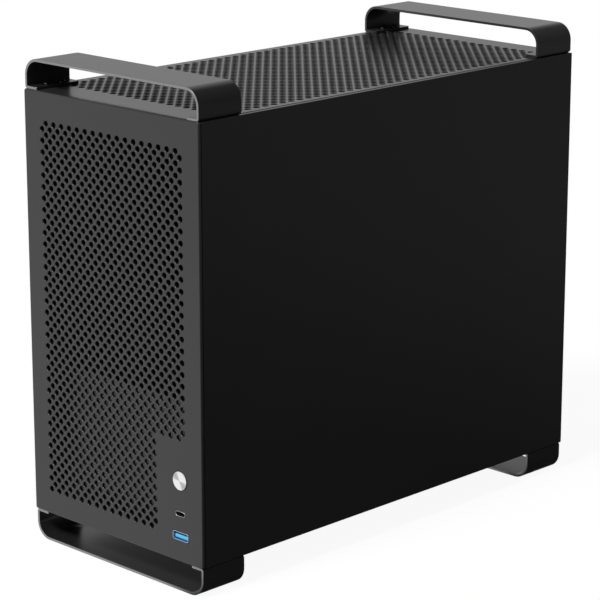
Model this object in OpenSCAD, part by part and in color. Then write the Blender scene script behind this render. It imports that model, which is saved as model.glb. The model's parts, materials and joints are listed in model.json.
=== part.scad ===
// Compact desktop computer case: a perforated sheet-metal body with four bent flat-bar
// strips, two on top as carrying handles and two below as feet.
// The floor is z = 0, the front faces -Y, and +X is to the right seen from the front.

/* [Body] */
// Width of the body
body_w = 172; // [166:1:210]
// Depth of the body, from the front panel's face to the rear panel's face
body_d = 374; // [368:1:450]
// Height of the body, without handles and feet
body_h = 300; // [290:1:360]

/* [Sheets] */
// Thickness of the front panel
front_t = 2; // [1.5:0.1:3]
// Thickness of the top and bottom panels
cap_t = 1.5; // [1:0.1:2.5]
// Thickness of the side panels
side_t = 1; // [0.8:0.1:1.5]
// Thickness of the frame's sheet steel
frame_t = 1; // [0.8:0.1:1.3]
// Rounding of the front panel's edges
front_edge_r = 1.8; // [0.5:0.1:2]
// Rounding of the top, bottom and side panels' edges
edge_r = 0.9; // [0.3:0.1:1]
// Depth of the folded edge of a side panel, inside its sheet
fold_in = 2; // [1:0.5:3]

/* [Gaps] */
// Gap between the front panel and a side panel
front_gap = 1.6; // [0.5:0.1:3]
// Gap between a side panel and the top or bottom panel
seam = 0.5; // [0.3:0.1:1.5]
// Gap between the front panel and the top or bottom panel behind it
cap_gap = 0.3; // [0.1:0.1:1]
// Gap between a side panel's folded edge and the frame
panel_play = 0.5; // [0.3:0.1:1.5]

/* [Perforation] */
// Diameter of a vent hole
hole_d = 4; // [2:0.1:5]
// Distance between holes in a row; the next row lies half of this further on
pitch = 8; // [7:0.5:12]
// Centre of the first front column from the body's side
front_margin_x = 18; // [14:1:40]
// Centre of the lowest front row from the body's underside
front_margin_z = 18.5; // [16:0.5:40]
// Least distance from the highest front row to the body's top
front_margin_top = 21; // [16:0.5:40]
// Centre of the first top column from the body's side
top_margin_x = 10; // [9:1:40]
// Centre of the first top row from the front face, and least distance at the rear
top_margin_y = 29; // [12:1:60]
// Least distance from the last top row to the rear face
top_margin_rear = 20; // [12:1:60]
// Width of the corner with the ports, left without holes
ports_w = 44; // [38:1:60]
// Height of the corner with the ports, left without holes
ports_h = 84.5; // [78:0.5:120]

/* [Handles and feet] */
// Height of a strip over the body
strip_h = 21; // [17:1:40]
// Width of the flat bar
strip_w = 37.6; // [28:0.2:60]
// Thickness of the flat bar
strip_t = 1.8; // [1.2:0.1:3]
// Outer radius of the large bends
strip_r = 12; // [6:0.5:16]
// Outer radius of the small bends at the body
strip_foot_r = 2.2; // [2:0.1:4]
// Reach of a flange from the leg's outer face
flange_len = 12; // [10:0.5:20]
// Distance from the body's side to the leg's outer face
strip_inset = 0.7; // [0:0.1:4]
// Distance from the body's front or rear face to the strip's edge
strip_set = 0.9; // [0:0.1:6]
// Distance between the two screws of a flange
screw_gap = 13; // [8:0.5:20]
// Distance from the leg's outer face to the screws
screw_in = 7.5; // [7:0.1:9]

/* [Power button and ports] */
// Centre line of the button and ports from the body's right side
ports_x = 21.4; // [18:0.1:30]
// Height of the button's centre over the body's underside
button_z = 57; // [52:0.5:68]
// Diameter of the power button
button_d = 13.2; // [10:0.1:16]
// Stand of the button in front of the panel
button_proud = 0.6; // [0:0.1:2]
// Travel of the button
button_travel = 1; // [0.5:0.1:1.5]
// Height of the small port's centre over the body's underside
usb_c_z = 33.7; // [30:0.1:38]
// Height of the large port's centre over the body's underside
usb_a_z = 18; // [16:0.1:22]

/* [Rear] */
// Width of the opening for the motherboard's connectors
io_w = 44.45; // [44.45:0.05:46]
// Height of the opening for the motherboard's connectors
io_h = 158.75; // [158.75:0.05:160]
// Distance between two expansion slots
slot_pitch = 20.32; // [20.32:0.01:21]
// Number of expansion slots
slot_count = 4; // [4:1:4]
// Distance between the screw holes of the exhaust fan
fan_pitch = 71.5; // [60:0.5:82.5]
// Diameter of the exhaust fan's vent field
fan_field = 76; // [60:1:84]
// Reach of the slot ledge behind the rear panel
ledge_out = 11; // [10:0.5:14]

/* [Inner frame] */
// Width of a rail's or post's leg
leg_w = 20; // [14:1:26]
// Space between the motherboard tray and the frame's side, for leads
tray_space = 15; // [10:1:20]
// Height of a motherboard standoff
standoff_h = 6.35; // [5:0.05:8]
// Height of the motherboard's lower edge over the body's underside
board_low = 36; // [34:1:40]
// Height of the drive plate over the body's underside
drive_plate_h = 105; // [95:1:130]
// Height of the power supply shelf over the body's underside
shelf_z = 144; // [130:1:150]

/* [Hidden] */

// Round parts are drawn with this many sides
round_fn = 48;
hole_fn = 32;
// Cuts reach this far past the faces that they open
past = 1;
// Clearance round a screw's shank, and between pieces that only lie close to each other
shank_gap = 0.2;
close_gap = 0.05;

// The body's outer faces. The button stands out in front and the slot ledge behind, and the
// origin is in the middle of both.
y_front = -body_d / 2 + (button_proud - ledge_out) / 2;
y_rear = y_front + body_d;
z_bot = strip_h;
z_top = strip_h + body_h;
half_w = body_w / 2;

// Inner faces of the top and bottom panels, and the frame's outer faces
z_in_bot = z_bot + cap_t;
z_in_top = z_top - cap_t;
x_frame = half_w - side_t - fold_in - panel_play;
y_in_front = y_front + front_t;
y_in_rear = y_rear - frame_t;
x_post = x_frame - frame_t;

// Screws of the handles and feet, and the places along a strip's width
m3_d = 3;
m3_head_d = 5.6;
m3_head_h = 1.7;
screw_x = half_w - strip_inset - screw_in;
// A small bend's outer radius, always a little over the bar's thickness
foot_r = max(strip_foot_r, strip_t + 0.3);

// The motherboard: a square board with its holes at the standard distances
board_size = 243.84;
board_t = 1.57;
board_gap_rear = 1.5;
hole_from_rear = 10.16;
hole_cols = [0, 154.94, 227.33];
hole_from_low = 7.62;
hole_rows = [0, 45.72, 203.2];
x_tray = x_frame - tray_space;
x_board = x_tray - frame_t - standoff_h;
x_board_face = x_board - board_t;
y_board_rear = y_in_rear - board_gap_rear;
z_board = z_bot + board_low;

// The rear openings, placed from the motherboard: the connector opening starts this far
// behind the board's face and over its lower edge, and the slots this far over that edge
io_from_board = [2.3, 83.5];
slot_over_board = 11;
slot_len = 108;
slot_open = 14;
io_x1 = x_board_face + io_from_board[0];
io_x0 = io_x1 - io_w;
io_z0 = z_board + io_from_board[1];
slot_z0 = z_board + slot_over_board;
slot_x1 = x_board_face;
slot_x0 = slot_x1 - slot_len;
ledge_gap = 5;
ledge_x = slot_x0 - ledge_gap;
tab_window = 3;
cover_t = 0.8;
cover_w = 18.4;
cover_past = 3;

// The exhaust fan's centre from the connector opening's upper left corner, and the inlet's
// centre from the body's lower left corner
fan_from_io = [50, 52];
fan_x = io_x0 - fan_from_io[0];
fan_z = io_z0 + io_h - fan_from_io[1];
fan_hole_d = 4.3;
inlet_at = [27, 17];
inlet_x = -x_frame + inlet_at[0];
inlet_z = z_bot + inlet_at[1];

// The port block
ports_cx = half_w - ports_x;
button_cz = z_bot + button_z;
usb_c_cz = z_bot + usb_c_z;
usb_a_cz = z_bot + usb_a_z;
board_plane = 12.4;
y_io_board = y_front + board_plane;
io_board_t = 1.6;
io_spacer = 3;
y_drive_plate = y_io_board + io_board_t + io_spacer;

// The power supply's end face and its screw holes, from the lower left corner of the face
psu_w = 150;
psu_d = 86;
psu_holes = [[6, 6], [144, 6], [144, 70], [30, 80]];
psu_hole_d = 4.2;
psu_gap = 3;
shelf_margin = 4;
psu_y0 = y_drive_plate + psu_gap;
shelf_d = psu_y0 + psu_d + shelf_margin - y_in_front - 2 * frame_t;

// Columns and rows of the two perforated fields
front_cols = floor((body_w - 2 * front_margin_x) / pitch + 0.001) + 1;
front_rows = floor((body_h - front_margin_z - front_margin_top) / (pitch / 2) + 0.001) + 1;
top_cols = floor((body_w - 2 * top_margin_x) / pitch + 0.001) + 1;
top_rows = floor((body_d - top_margin_y - top_margin_rear) / (pitch / 2) + 0.001) + 1;

// Centres of a staggered field, centred on x, with its first row at y = 0
function staggered(cols, rows) = [
  for (j = [0 : rows - 1])
    for (i = [0 : cols - 1 - j % 2])
      [(i + (j % 2) / 2 - (cols - 1) / 2) * pitch, j * pitch / 2]
];

// True where a front hole would fall into the port corner
function in_port_corner(p) = p[0] > half_w - ports_w && p[1] + front_margin_z < ports_h;

// A block from its lowest to its highest corner
module block(low, high) {
  translate(low)
    cube(high - low);
}

// A flat outline of a width and height, standing in the XZ plane, thickened towards +Y
module upright(y, thick) {
  translate([0, y + thick, 0])
    rotate([90, 0, 0])
      linear_extrude(thick)
        children();
}

// A rectangle with its four corners rounded, from its lowest to its highest corner
module round_rect(low, high, r) {
  translate([low[0] + r, low[1]])
    square([high[0] - low[0] - 2 * r, high[1] - low[1]]);
  translate([low[0], low[1] + r])
    square([high[0] - low[0], high[1] - low[1] - 2 * r]);
  for (x = [low[0] + r, high[0] - r], y = [low[1] + r, high[1] - r])
    translate([x, y])
      circle(r, $fn = round_fn);
}

// A rectangle with only its two upper corners rounded
module arched_rect(low, high, r) {
  difference() {
    translate(low)
      square(high - low);
    for (s = [-1, 1])
      translate([s > 0 ? high[0] - r : low[0] + r, high[1] - r])
        difference() {
          translate([s > 0 ? 0 : -r - past, 0])
            square(r + past);
          circle(r, $fn = round_fn);
        }
  }
}

// A slot with round ends along x, centred
module slot(len, wide) {
  square([len - wide, wide], center = true);
  for (s = [-1, 1])
    translate([s * (len - wide) / 2, 0])
      circle(d = wide, $fn = round_fn);
}

// The children on the right side, or mirrored to the left side
module on_side(s) {
  if (s > 0)
    children();
  else
    mirror([1, 0, 0])
      children();
}

// A pin along Y from y0 to y1
module pin_y(x, z, d, y0, y1) {
  translate([x, y1, z])
    rotate([90, 0, 0])
      cylinder(d = d, h = y1 - y0, $fn = round_fn);
}

// A pin along X from x0 to x1
module pin_x(y, z, d, x0, x1) {
  translate([x0, y, z])
    rotate([0, 90, 0])
      cylinder(d = d, h = x1 - x0, $fn = round_fn);
}

// Front panel: one plate with rounded edges, the staggered holes and the openings for the
// button and the two ports
stud_in = [5.5, 8];
stud_x = x_frame - stud_in[0];
stud_zs = [z_bot + stud_in[1], z_top - stud_in[1]];

module front_outline() {
  difference() {
    round_rect([-half_w, z_bot], [half_w, z_top], front_edge_r);
    for (p = staggered(front_cols, front_rows))
      if (!in_port_corner(p))
        translate([p[0], z_bot + front_margin_z + p[1]])
          circle(d = hole_d, $fn = hole_fn);
    translate([ports_cx, button_cz])
      circle(d = button_d + 2 * button_ring, $fn = round_fn);
    translate([ports_cx, usb_c_cz])
      slot(usb_c_w + 2 * port_gap, usb_c_h + 2 * port_gap);
    translate([ports_cx, usb_a_cz])
      square([usb_a_w + 2 * port_gap, usb_a_h + 2 * port_gap], center = true);
  }
}

module front_panel() {
  color([0.25, 0.25, 0.26])
    intersection() {
      upright(y_front, front_t)
        front_outline();
      translate([0, y_in_front, z_bot - past])
        mirror([0, 1, 0])
          linear_extrude(body_h + 2 * past)
            arched_rect([-half_w, 0], [half_w, front_t], front_edge_r);
    }
}

// Top and bottom panels: plates that cover the side panels' edges
y_cap = y_in_front + cap_gap;
cap_screw_ys = [for (y = [y_front + strip_set + strip_w / 2, y_rear - strip_set - strip_w / 2],
                     s = [-1, 1]) y + s * screw_gap / 2];

module cap_plan() {
  difference() {
    round_rect([-half_w, y_cap], [half_w, y_rear], edge_r);
    for (x = [-screw_x, screw_x], y = cap_screw_ys)
      translate([x, y])
        circle(d = m3_d + 2 * shank_gap, $fn = round_fn);
    children();
  }
}

module top_panel() {
  color([0.3, 0.3, 0.31])
    translate([0, 0, z_in_top])
      linear_extrude(cap_t)
        cap_plan()
          for (p = staggered(top_cols, top_rows))
            translate([p[0], y_front + top_margin_y + p[1]])
              circle(d = hole_d, $fn = hole_fn);
}

// Vent slots for the two lower fans, kept within each fan's circle
floor_fan = 120;
floor_fan_pitch = 105;
floor_fan_y = y_rear - 70;
floor_fan_ys = [floor_fan_y, floor_fan_y - floor_fan - 5];
vent_len = 22;
vent_w = 4;
vent_web = 4;

module fan_slots() {
  for (i = [-2 : 2], j = [-6 : 6])
    let (x = i * (vent_len + vent_web), y = j * (vent_w + vent_web))
      if (norm([abs(x) + vent_len / 2, abs(y) + vent_w / 2]) < floor_fan / 2 - 2)
        translate([x, y])
          slot(vent_len, vent_w);
}

module bottom_panel() {
  color([0.2, 0.2, 0.21])
    translate([0, 0, z_bot])
      linear_extrude(cap_t)
        cap_plan()
          for (y = floor_fan_ys)
            translate([0, y]) {
              fan_slots();
              for (sx = [-1, 1], sy = [-1, 1])
                translate([sx, sy] * floor_fan_pitch / 2)
                  circle(d = fan_hole_d, $fn = round_fn);
            }
}

// Side panels: shallow folded trays that pull off sideways
y_side = y_in_front + front_gap;
z_side_bot = z_in_bot + seam;
z_side_top = z_in_top - seam;

module side_panel() {
  difference() {
    intersection() {
      rotate([90, 0, 90])
        linear_extrude(half_w)
          round_rect([y_side, z_side_bot], [y_rear, z_side_top], edge_r);
      block([half_w - side_t - fold_in, y_side, z_side_bot], [half_w, y_rear, z_side_top]);
    }
    block([half_w - side_t - fold_in - past, y_side + side_t, z_side_bot + side_t],
          [half_w - side_t, y_rear - side_t, z_side_top - side_t]);
  }
}

module left_side_panel() {
  color([0.12, 0.12, 0.13])
    on_side(-1)
      side_panel();
}

module right_side_panel() {
  color([0.12, 0.12, 0.13])
    side_panel();
}

// Rear panel: one sheet with the connector opening, the slots, the fan's field and the inlet.
// Beside the slots it folds out into the ledge that takes the slot screws.
rear_slots_z = [for (i = [0 : slot_count - 1]) slot_z0 + i * slot_pitch];
ledge_z0 = slot_z0 - slot_pitch / 2;
ledge_z1 = ledge_z0 + slot_count * slot_pitch;
inlet_body = [27, 19.8];
rivet_d = 3.2;
rivet_x = x_post - 4;
rivet_in = 30;
rivet_zs = [for (i = [0 : 3]) z_in_bot + rivet_in + i * (z_in_top - z_in_bot - 2 * rivet_in) / 3];
fan_side = ceil(fan_field / 2 / pitch);
fan_vent_d = hole_d + 1;
slot_screw_y = y_rear + ledge_out / 2;

module rear_outline() {
  difference() {
    translate([-x_frame, z_in_bot])
      square([2 * x_frame, z_in_top - z_in_bot]);
    translate([io_x0, io_z0])
      square([io_w, io_h]);
    for (z = rear_slots_z)
      translate([slot_x0, z - slot_open / 2])
        square([slot_x1 - slot_x0, slot_open]);
    translate([ledge_x - tab_window, ledge_z0])
      square([tab_window, ledge_z1 - ledge_z0]);
    translate([fan_x, fan_z]) {
      for (sx = [-1, 1], sz = [-1, 1])
        translate([sx, sz] * fan_pitch / 2)
          circle(d = fan_hole_d, $fn = round_fn);
      for (p = staggered(2 * fan_side + 1, 4 * fan_side + 1))
        let (q = [p[0], p[1] - fan_side * pitch])
          if (norm(q) + fan_vent_d / 2 < fan_field / 2)
            translate(q)
              circle(d = fan_vent_d, $fn = hole_fn);
    }
    translate([inlet_x, inlet_z])
      square(inlet_body + 2 * [close_gap, close_gap], center = true);
    for (x = [-rivet_x, rivet_x], z = rivet_zs)
      translate([x, z])
        circle(d = rivet_d + 2 * close_gap, $fn = round_fn);
  }
}

module rear_panel() {
  color([0.16, 0.16, 0.17]) {
    upright(y_in_rear, frame_t)
      rear_outline();
    difference() {
      block([ledge_x, y_in_rear, ledge_z0], [ledge_x + frame_t, y_rear + ledge_out, ledge_z1]);
      for (z = rear_slots_z)
        pin_x(slot_screw_y, z, m3_d + 2 * close_gap, ledge_x - past, ledge_x + frame_t + past);
    }
  }
}

// Strips: the flat bar is bent to a wide arch whose small flanges lie on the panel. Drawn
// from above, standing on z = 0.
module strip_profile() {
  x = half_w - strip_inset;
  difference() {
    union() {
      arched_rect([-x, foot_r], [x, strip_h], strip_r);
      translate([-x + foot_r, 0])
        square([2 * (x - foot_r), foot_r]);
      for (s = [-1, 1])
        translate([s * (x - foot_r), foot_r])
          circle(foot_r, $fn = round_fn);
    }
    arched_rect([-x + strip_t, foot_r], [x - strip_t, strip_h - strip_t], strip_r - strip_t);
    translate([-x + foot_r, strip_t])
      square([2 * (x - foot_r), foot_r]);
    for (s = [-1, 1])
      translate([s * (x - foot_r), foot_r])
        circle(foot_r - strip_t, $fn = round_fn);
    translate([-x + flange_len, -past])
      square([2 * (x - flange_len), strip_t + 2 * past]);
  }
}

// What is cut off to round a plate's corner at the origin, with the plate towards +X and +Y
module corner_cut(r) {
  difference() {
    translate([-past, -past])
      square(r + past);
    translate([r, r])
      circle(r, $fn = round_fn);
  }
}

// A strip whose front edge lies at y, with two screw holes in each flange, whose free
// corners are rounded
flange_corner_r = 1.5;

module strip(y) {
  mid = y + strip_w / 2;
  difference() {
    upright(y, strip_w)
      strip_profile();
    for (s = [-1, 1], e = [0, 1])
      on_side(s)
        translate([half_w - strip_inset - flange_len, y + e * strip_w, -past])
          mirror([0, e, 0])
            linear_extrude(strip_t + 2 * past)
              corner_cut(flange_corner_r);
    for (x = [-screw_x, screw_x], s = [-1, 1])
      translate([x, mid + s * screw_gap / 2, -past])
        cylinder(d = m3_d + 2 * shank_gap, h = strip_t + 2 * past, $fn = round_fn);
  }
}

module strip_colour() {
  color([0.2, 0.2, 0.21])
    children();
}

y_strip_front = y_front + strip_set;
y_strip_rear = y_rear - strip_set - strip_w;

module front_handle() {
  strip_colour()
    translate([0, 0, z_top])
      strip(y_strip_front);
}

module rear_handle() {
  strip_colour()
    translate([0, 0, z_top])
      strip(y_strip_rear);
}

module front_foot() {
  strip_colour()
    translate([0, 0, z_bot])
      mirror([0, 0, 1])
        strip(y_strip_front);
}

module rear_foot() {
  strip_colour()
    translate([0, 0, z_bot])
      mirror([0, 0, 1])
        strip(y_strip_rear);
}

// A screw with a low head and a socket, head up, its seat at z = 0
screw_len = 7;
socket_d = 2.4;
socket_deep = 1;

module screw(len) {
  difference() {
    union() {
      cylinder(d = m3_head_d, h = m3_head_h, $fn = round_fn);
      translate([0, 0, -len])
        cylinder(d = m3_d, h = len, $fn = round_fn);
    }
    translate([0, 0, m3_head_h - socket_deep])
      cylinder(d = socket_d, h = socket_deep + past, $fn = 6);
  }
}

module strip_screws() {
  for (x = [-screw_x, screw_x], y = cap_screw_ys)
    translate([x, y, strip_t])
      screw(screw_len);
}

module handle_screws() {
  color([0.1, 0.1, 0.1])
    translate([0, 0, z_top])
      strip_screws();
}

module foot_screws() {
  color([0.1, 0.1, 0.1])
    translate([0, 0, z_bot])
      mirror([0, 0, 1])
        strip_screws();
}

// Front frame: the flat ring behind the front panel, with a plate behind the port corner
ring_side = 10;
ring_low = 12;
ring_high = 15;
corner_web = 3;

module front_frame() {
  color([0.14, 0.14, 0.15])
    upright(y_in_front, frame_t)
      difference() {
        translate([-x_frame, z_in_bot])
          square([2 * x_frame, z_in_top - z_in_bot]);
        difference() {
          translate([-x_frame + ring_side, z_in_bot + ring_low])
            square([2 * (x_frame - ring_side), z_in_top - z_in_bot - ring_low - ring_high]);
          translate([half_w - ports_w + corner_web, z_bot])
            square([ports_w, ports_h - corner_web]);
        }
        translate([ports_cx, button_cz])
          circle(d = button_rim_d + 2 * button_ring, $fn = round_fn);
        translate([ports_cx, usb_c_cz])
          slot(usb_c_w + 2 * port_gap, usb_c_h + 2 * port_gap);
        translate([ports_cx, usb_a_cz])
          square([usb_a_w + 2 * port_gap, usb_a_h + 2 * port_gap], center = true);
        for (x = [-stud_x, stud_x], z = stud_zs)
          translate([x, z])
            circle(d = m3_d + 2 * shank_gap, $fn = round_fn);
      }
}

// Rails: angle sections along the four long edges, with a hole for each clip and handle screw
clip_z = 11;
clip_in = 50;
clip_ys = [y_in_front + clip_in, y_rear - clip_in];
clip_d = 7.8;

module rail() {
  difference() {
    union() {
      block([x_post, y_in_front + frame_t, z_in_top - leg_w], [x_frame, y_in_rear, z_in_top]);
      block([x_frame - leg_w, y_in_front + frame_t, z_in_top - frame_t], [x_frame, y_in_rear, z_in_top]);
    }
    for (y = clip_ys)
      pin_x(y, z_in_top - clip_z, clip_d + 2 * close_gap, x_post - past, x_frame + past);
    for (y = cap_screw_ys)
      translate([screw_x, y, z_in_top - frame_t - past])
        cylinder(d = m3_d + 2 * shank_gap, h = frame_t + 2 * past, $fn = round_fn);
  }
}

// The lower rail is the upper one turned over about the body's middle height
module lower() {
  translate([0, 0, z_top + z_bot])
    mirror([0, 0, 1])
      children();
}

module frame_colour() {
  color([0.15, 0.15, 0.16])
    children();
}

module top_rail_left() {
  frame_colour()
    on_side(-1)
      rail();
}

module top_rail_right() {
  frame_colour()
    rail();
}

module bottom_rail_left() {
  frame_colour()
    on_side(-1)
      lower()
        rail();
}

module bottom_rail_right() {
  frame_colour()
    lower()
      rail();
}

// Posts: angle sections inside the rails at the four upright edges
post_leg = 8;

module front_post() {
  y0 = y_in_front + frame_t;
  difference() {
    union() {
      block([x_post - frame_t, y0, z_in_bot + frame_t], [x_post, y0 + leg_w, z_in_top - frame_t]);
      block([x_post - post_leg, y0, z_in_bot + frame_t], [x_post, y0 + frame_t, z_in_top - frame_t]);
    }
    for (z = stud_zs)
      pin_y(stud_x, z, m3_d + 2 * shank_gap, y0 - past, y0 + frame_t + past);
  }
}

module rear_post() {
  difference() {
    union() {
      block([x_post - frame_t, y_in_rear - leg_w, z_in_bot + frame_t],
            [x_post, y_in_rear, z_in_top - frame_t]);
      block([x_post - post_leg, y_in_rear - frame_t, z_in_bot + frame_t],
            [x_post, y_in_rear, z_in_top - frame_t]);
    }
    for (z = rivet_zs)
      pin_y(rivet_x, z, rivet_d + 2 * close_gap, y_in_rear - frame_t - past, y_in_rear + past);
  }
}

// Press-in nuts inside the rails, for the screws of the handles and feet
nut_collar = [5, 2.2];

module rail_nuts() {
  color([0.6, 0.6, 0.62])
    for (x = [-screw_x, screw_x], y = cap_screw_ys,
         z = [z_in_bot + frame_t, z_in_top - frame_t - nut_collar[1]])
      translate([x, y, z])
        difference() {
          cylinder(d = nut_collar[0], h = nut_collar[1], $fn = round_fn);
          translate([0, 0, -past])
            cylinder(d = m3_d + 2 * close_gap, h = nut_collar[1] + 2 * past, $fn = round_fn);
        }
}

module front_post_left() {
  frame_colour()
    on_side(-1)
      front_post();
}

module front_post_right() {
  frame_colour()
    front_post();
}

module rear_post_left() {
  frame_colour()
    on_side(-1)
      rear_post();
}

module rear_post_right() {
  frame_colour()
    rear_post();
}

// Blind rivets that hold the rear panel to the posts: a flat head and a bulged tail, and
// the bore of the pulled mandrel, which ends in the head
rivet_head = [3, 0.9];
rivet_tail = [2.2, 1.5];
rivet_bore = 0.7;

module rear_rivets() {
  color([0.6, 0.6, 0.6])
    for (x = [-rivet_x, rivet_x], z = rivet_zs)
      translate([x, y_rear, z])
        rotate([-90, 0, 0])
          rotate_extrude($fn = round_fn)
            difference() {
              union() {
                square(rivet_head);
                translate([0, -2 * frame_t - rivet_tail[1]])
                  square([rivet_d / 2, 2 * frame_t + rivet_tail[1]]);
                translate([0, -2 * frame_t - rivet_tail[1]])
                  square(rivet_tail);
              }
              translate([0, -2 * frame_t - rivet_tail[1] - past])
                square([rivet_bore, 2 * frame_t + rivet_tail[1] + past + rivet_head[1] / 2]);
            }
}

// The front panel's welded studs, and their nuts behind the posts
stud_len = 8;
nut_d = 6.35;
nut_h = 2.4;

module front_panel_studs() {
  color([0.6, 0.6, 0.62])
    for (x = [-stud_x, stud_x], z = stud_zs)
      pin_y(x, z, m3_d, y_in_front, y_in_front + stud_len);
}

module front_panel_nuts() {
  color([0.55, 0.55, 0.57])
    for (x = [-stud_x, stud_x], z = stud_zs)
      translate([x, y_in_front + 2 * frame_t + nut_h, z])
        rotate([90, 0, 0])
          difference() {
            cylinder(d = nut_d, h = nut_h, $fn = 6);
            translate([0, 0, -past])
              cylinder(d = m3_d + 2 * close_gap, h = nut_h + 2 * past, $fn = round_fn);
          }
}

// Ball studs on the side panels, each with a welded foot and a ball that is flat at its tip,
// and the clips in the rails that hold them
ball_d = 5;
ball_flat = 0.1;
neck_d = 3.4;
stud_foot = [8, 0.7];
ball_x = x_post - 3;

module side_studs() {
  x_weld = half_w - side_t;
  x_tip = ball_x - ball_d / 2 + ball_flat;
  for (y = clip_ys, z = [z_in_top - clip_z, z_in_bot + clip_z])
    translate([0, y, z])
      rotate([0, 90, 0])
        rotate_extrude($fn = round_fn)
          intersection() {
            union() {
              translate([0, ball_x])
                circle(d = ball_d, $fn = round_fn);
              translate([0, ball_x])
                square([neck_d / 2, x_weld - ball_x]);
              translate([0, x_weld - stud_foot[1]])
                square([stud_foot[0] / 2, stud_foot[1]]);
            }
            translate([0, x_tip])
              square([stud_foot[0], x_weld - x_tip]);
          }
}

module left_panel_studs() {
  color([0.65, 0.65, 0.66])
    on_side(-1)
      side_studs();
}

module right_panel_studs() {
  color([0.65, 0.65, 0.66])
    side_studs();
}

clip_reach = 3;
clip_rim = [1, 0.8];
clip_play = 0.3;

module side_clips() {
  x0 = ball_x - clip_reach;
  x1 = x_frame + clip_rim[1];
  for (y = clip_ys, z = [z_in_top - clip_z, z_in_bot + clip_z])
    translate([0, y, z])
      rotate([0, 90, 0])
        rotate_extrude($fn = round_fn)
          difference() {
            union() {
              translate([0, x0])
                square([clip_d / 2, x1 - x0]);
              translate([0, x_frame])
                square([clip_d / 2 + clip_rim[0], clip_rim[1]]);
            }
            translate([0, x0 - past])
              square([ball_d / 2 + clip_play, x1 - x0 + 2 * past]);
          }
}

module left_panel_clips() {
  color([0.85, 0.85, 0.82])
    on_side(-1)
      side_clips();
}

module right_panel_clips() {
  color([0.85, 0.85, 0.82])
    side_clips();
}

// Power button: a turned cap with a hidden rim that stops it behind the panel, and a stem
button_ring = 0.35;
button_rim_d = button_d + 2;
button_rim_t = 0.9;
stem_d = 5;
switch_w = 6;
switch_h = 4;
switch_bore = 3;
plunger_d = 3;
plunger_in = 0.8;
press_gap = 0.2;
y_switch = y_io_board - switch_h;
y_stem_end = y_switch - button_travel - press_gap;

module power_button() {
  color([0.85, 0.85, 0.85]) {
    pin_y(ports_cx, button_cz, button_d, y_front - button_proud, y_in_front + close_gap);
    pin_y(ports_cx, button_cz, button_rim_d, y_in_front + close_gap, y_in_front + close_gap + button_rim_t);
    pin_y(ports_cx, button_cz, stem_d, y_in_front, y_stem_end);
  }
}

// The switch's plunger moves with the button and sinks into the switch's body
module switch_plunger() {
  color([0.1, 0.1, 0.1])
    pin_y(ports_cx, button_cz, plunger_d, y_stem_end, y_switch + plunger_in);
}

module power_switch() {
  color([0.7, 0.7, 0.7])
    difference() {
      block([ports_cx - switch_w / 2, y_switch, button_cz - switch_w / 2],
            [ports_cx + switch_w / 2, y_io_board, button_cz + switch_w / 2]);
      pin_y(ports_cx, button_cz, plunger_d + 2 * close_gap, y_switch - past, y_switch + switch_bore);
    }
}

// Ports: metal shells that end just in front of the panel, each with its tongue inside. A
// tongue's key is its width and thickness, or its width and its lower and upper faces.
tongue_in = 1.2;
port_gap = 0.3;
port_proud = 0.2;
usb_c_w = 9.4;
usb_c_h = 3.7;
usb_c_wall = 0.45;
usb_c_back = 2;
usb_c_key = [6.6, 0.7];
usb_a_w = 15.2;
usb_a_h = 6.1;
usb_a_wall = 0.45;
usb_a_back = 1;
usb_a_lip = 1.4;
usb_a_mouth = [12.6, 4.9];
usb_a_key = [11.6, -1.7, 0.7];

module usb_c_shell() {
  color([0.75, 0.75, 0.76])
    translate([ports_cx, 0, usb_c_cz])
      difference() {
        upright(y_front - port_proud, board_plane + port_proud)
          slot(usb_c_w, usb_c_h);
        upright(y_front - port_proud - past, board_plane - usb_c_back + past)
          slot(usb_c_w - 2 * usb_c_wall, usb_c_h - 2 * usb_c_wall);
      }
}

module usb_c_tongue() {
  color([0.08, 0.08, 0.08])
    block([ports_cx - usb_c_key[0] / 2, y_front + tongue_in, usb_c_cz - usb_c_key[1] / 2],
          [ports_cx + usb_c_key[0] / 2, y_io_board - usb_c_back - port_proud, usb_c_cz + usb_c_key[1] / 2]);
}

// The large port's shell widens to a thin lip at its mouth
module usb_a_shell() {
  color([0.75, 0.75, 0.76])
    translate([ports_cx, 0, usb_a_cz])
      difference() {
        union() {
          upright(y_front - port_proud, usb_a_lip)
            square([usb_a_w, usb_a_h], center = true);
          upright(y_front - port_proud, board_plane + port_proud)
            square([usb_a_mouth[0] + 2 * usb_a_wall, usb_a_mouth[1] + 2 * usb_a_wall], center = true);
        }
        upright(y_front - port_proud - past, usb_a_lip - usb_a_wall + past)
          square([usb_a_w - 2 * usb_a_wall, usb_a_h - 2 * usb_a_wall], center = true);
        upright(y_front - port_proud - past, board_plane - usb_a_back + past)
          square(usb_a_mouth, center = true);
      }
}

module usb_a_tongue() {
  color([0.1, 0.45, 0.75])
    block([ports_cx - usb_a_key[0] / 2, y_front + tongue_in, usb_a_cz + usb_a_key[1]],
          [ports_cx + usb_a_key[0] / 2, y_io_board - usb_a_back - port_proud, usb_a_cz + usb_a_key[2]]);
}

// The board that carries both ports and the switch, on spacers in front of the drive plate
io_board_w = 22;
io_board_z0 = z_bot + 10;
io_board_z1 = z_bot + 68;
io_screw_in = 3.5;
io_screw_zs = [io_board_z0 + 34, io_board_z1 - io_screw_in];
io_screw_x = ports_cx + io_board_w / 2 - io_screw_in;
io_spacer_d = 5;

module front_io_board() {
  color([0.05, 0.25, 0.12])
    difference() {
      block([ports_cx - io_board_w / 2, y_io_board, io_board_z0],
            [ports_cx + io_board_w / 2, y_io_board + io_board_t, io_board_z1]);
      for (z = io_screw_zs)
        pin_y(io_screw_x, z, m3_d + 2 * shank_gap, y_io_board - past, y_io_board + io_board_t + past);
    }
}

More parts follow.
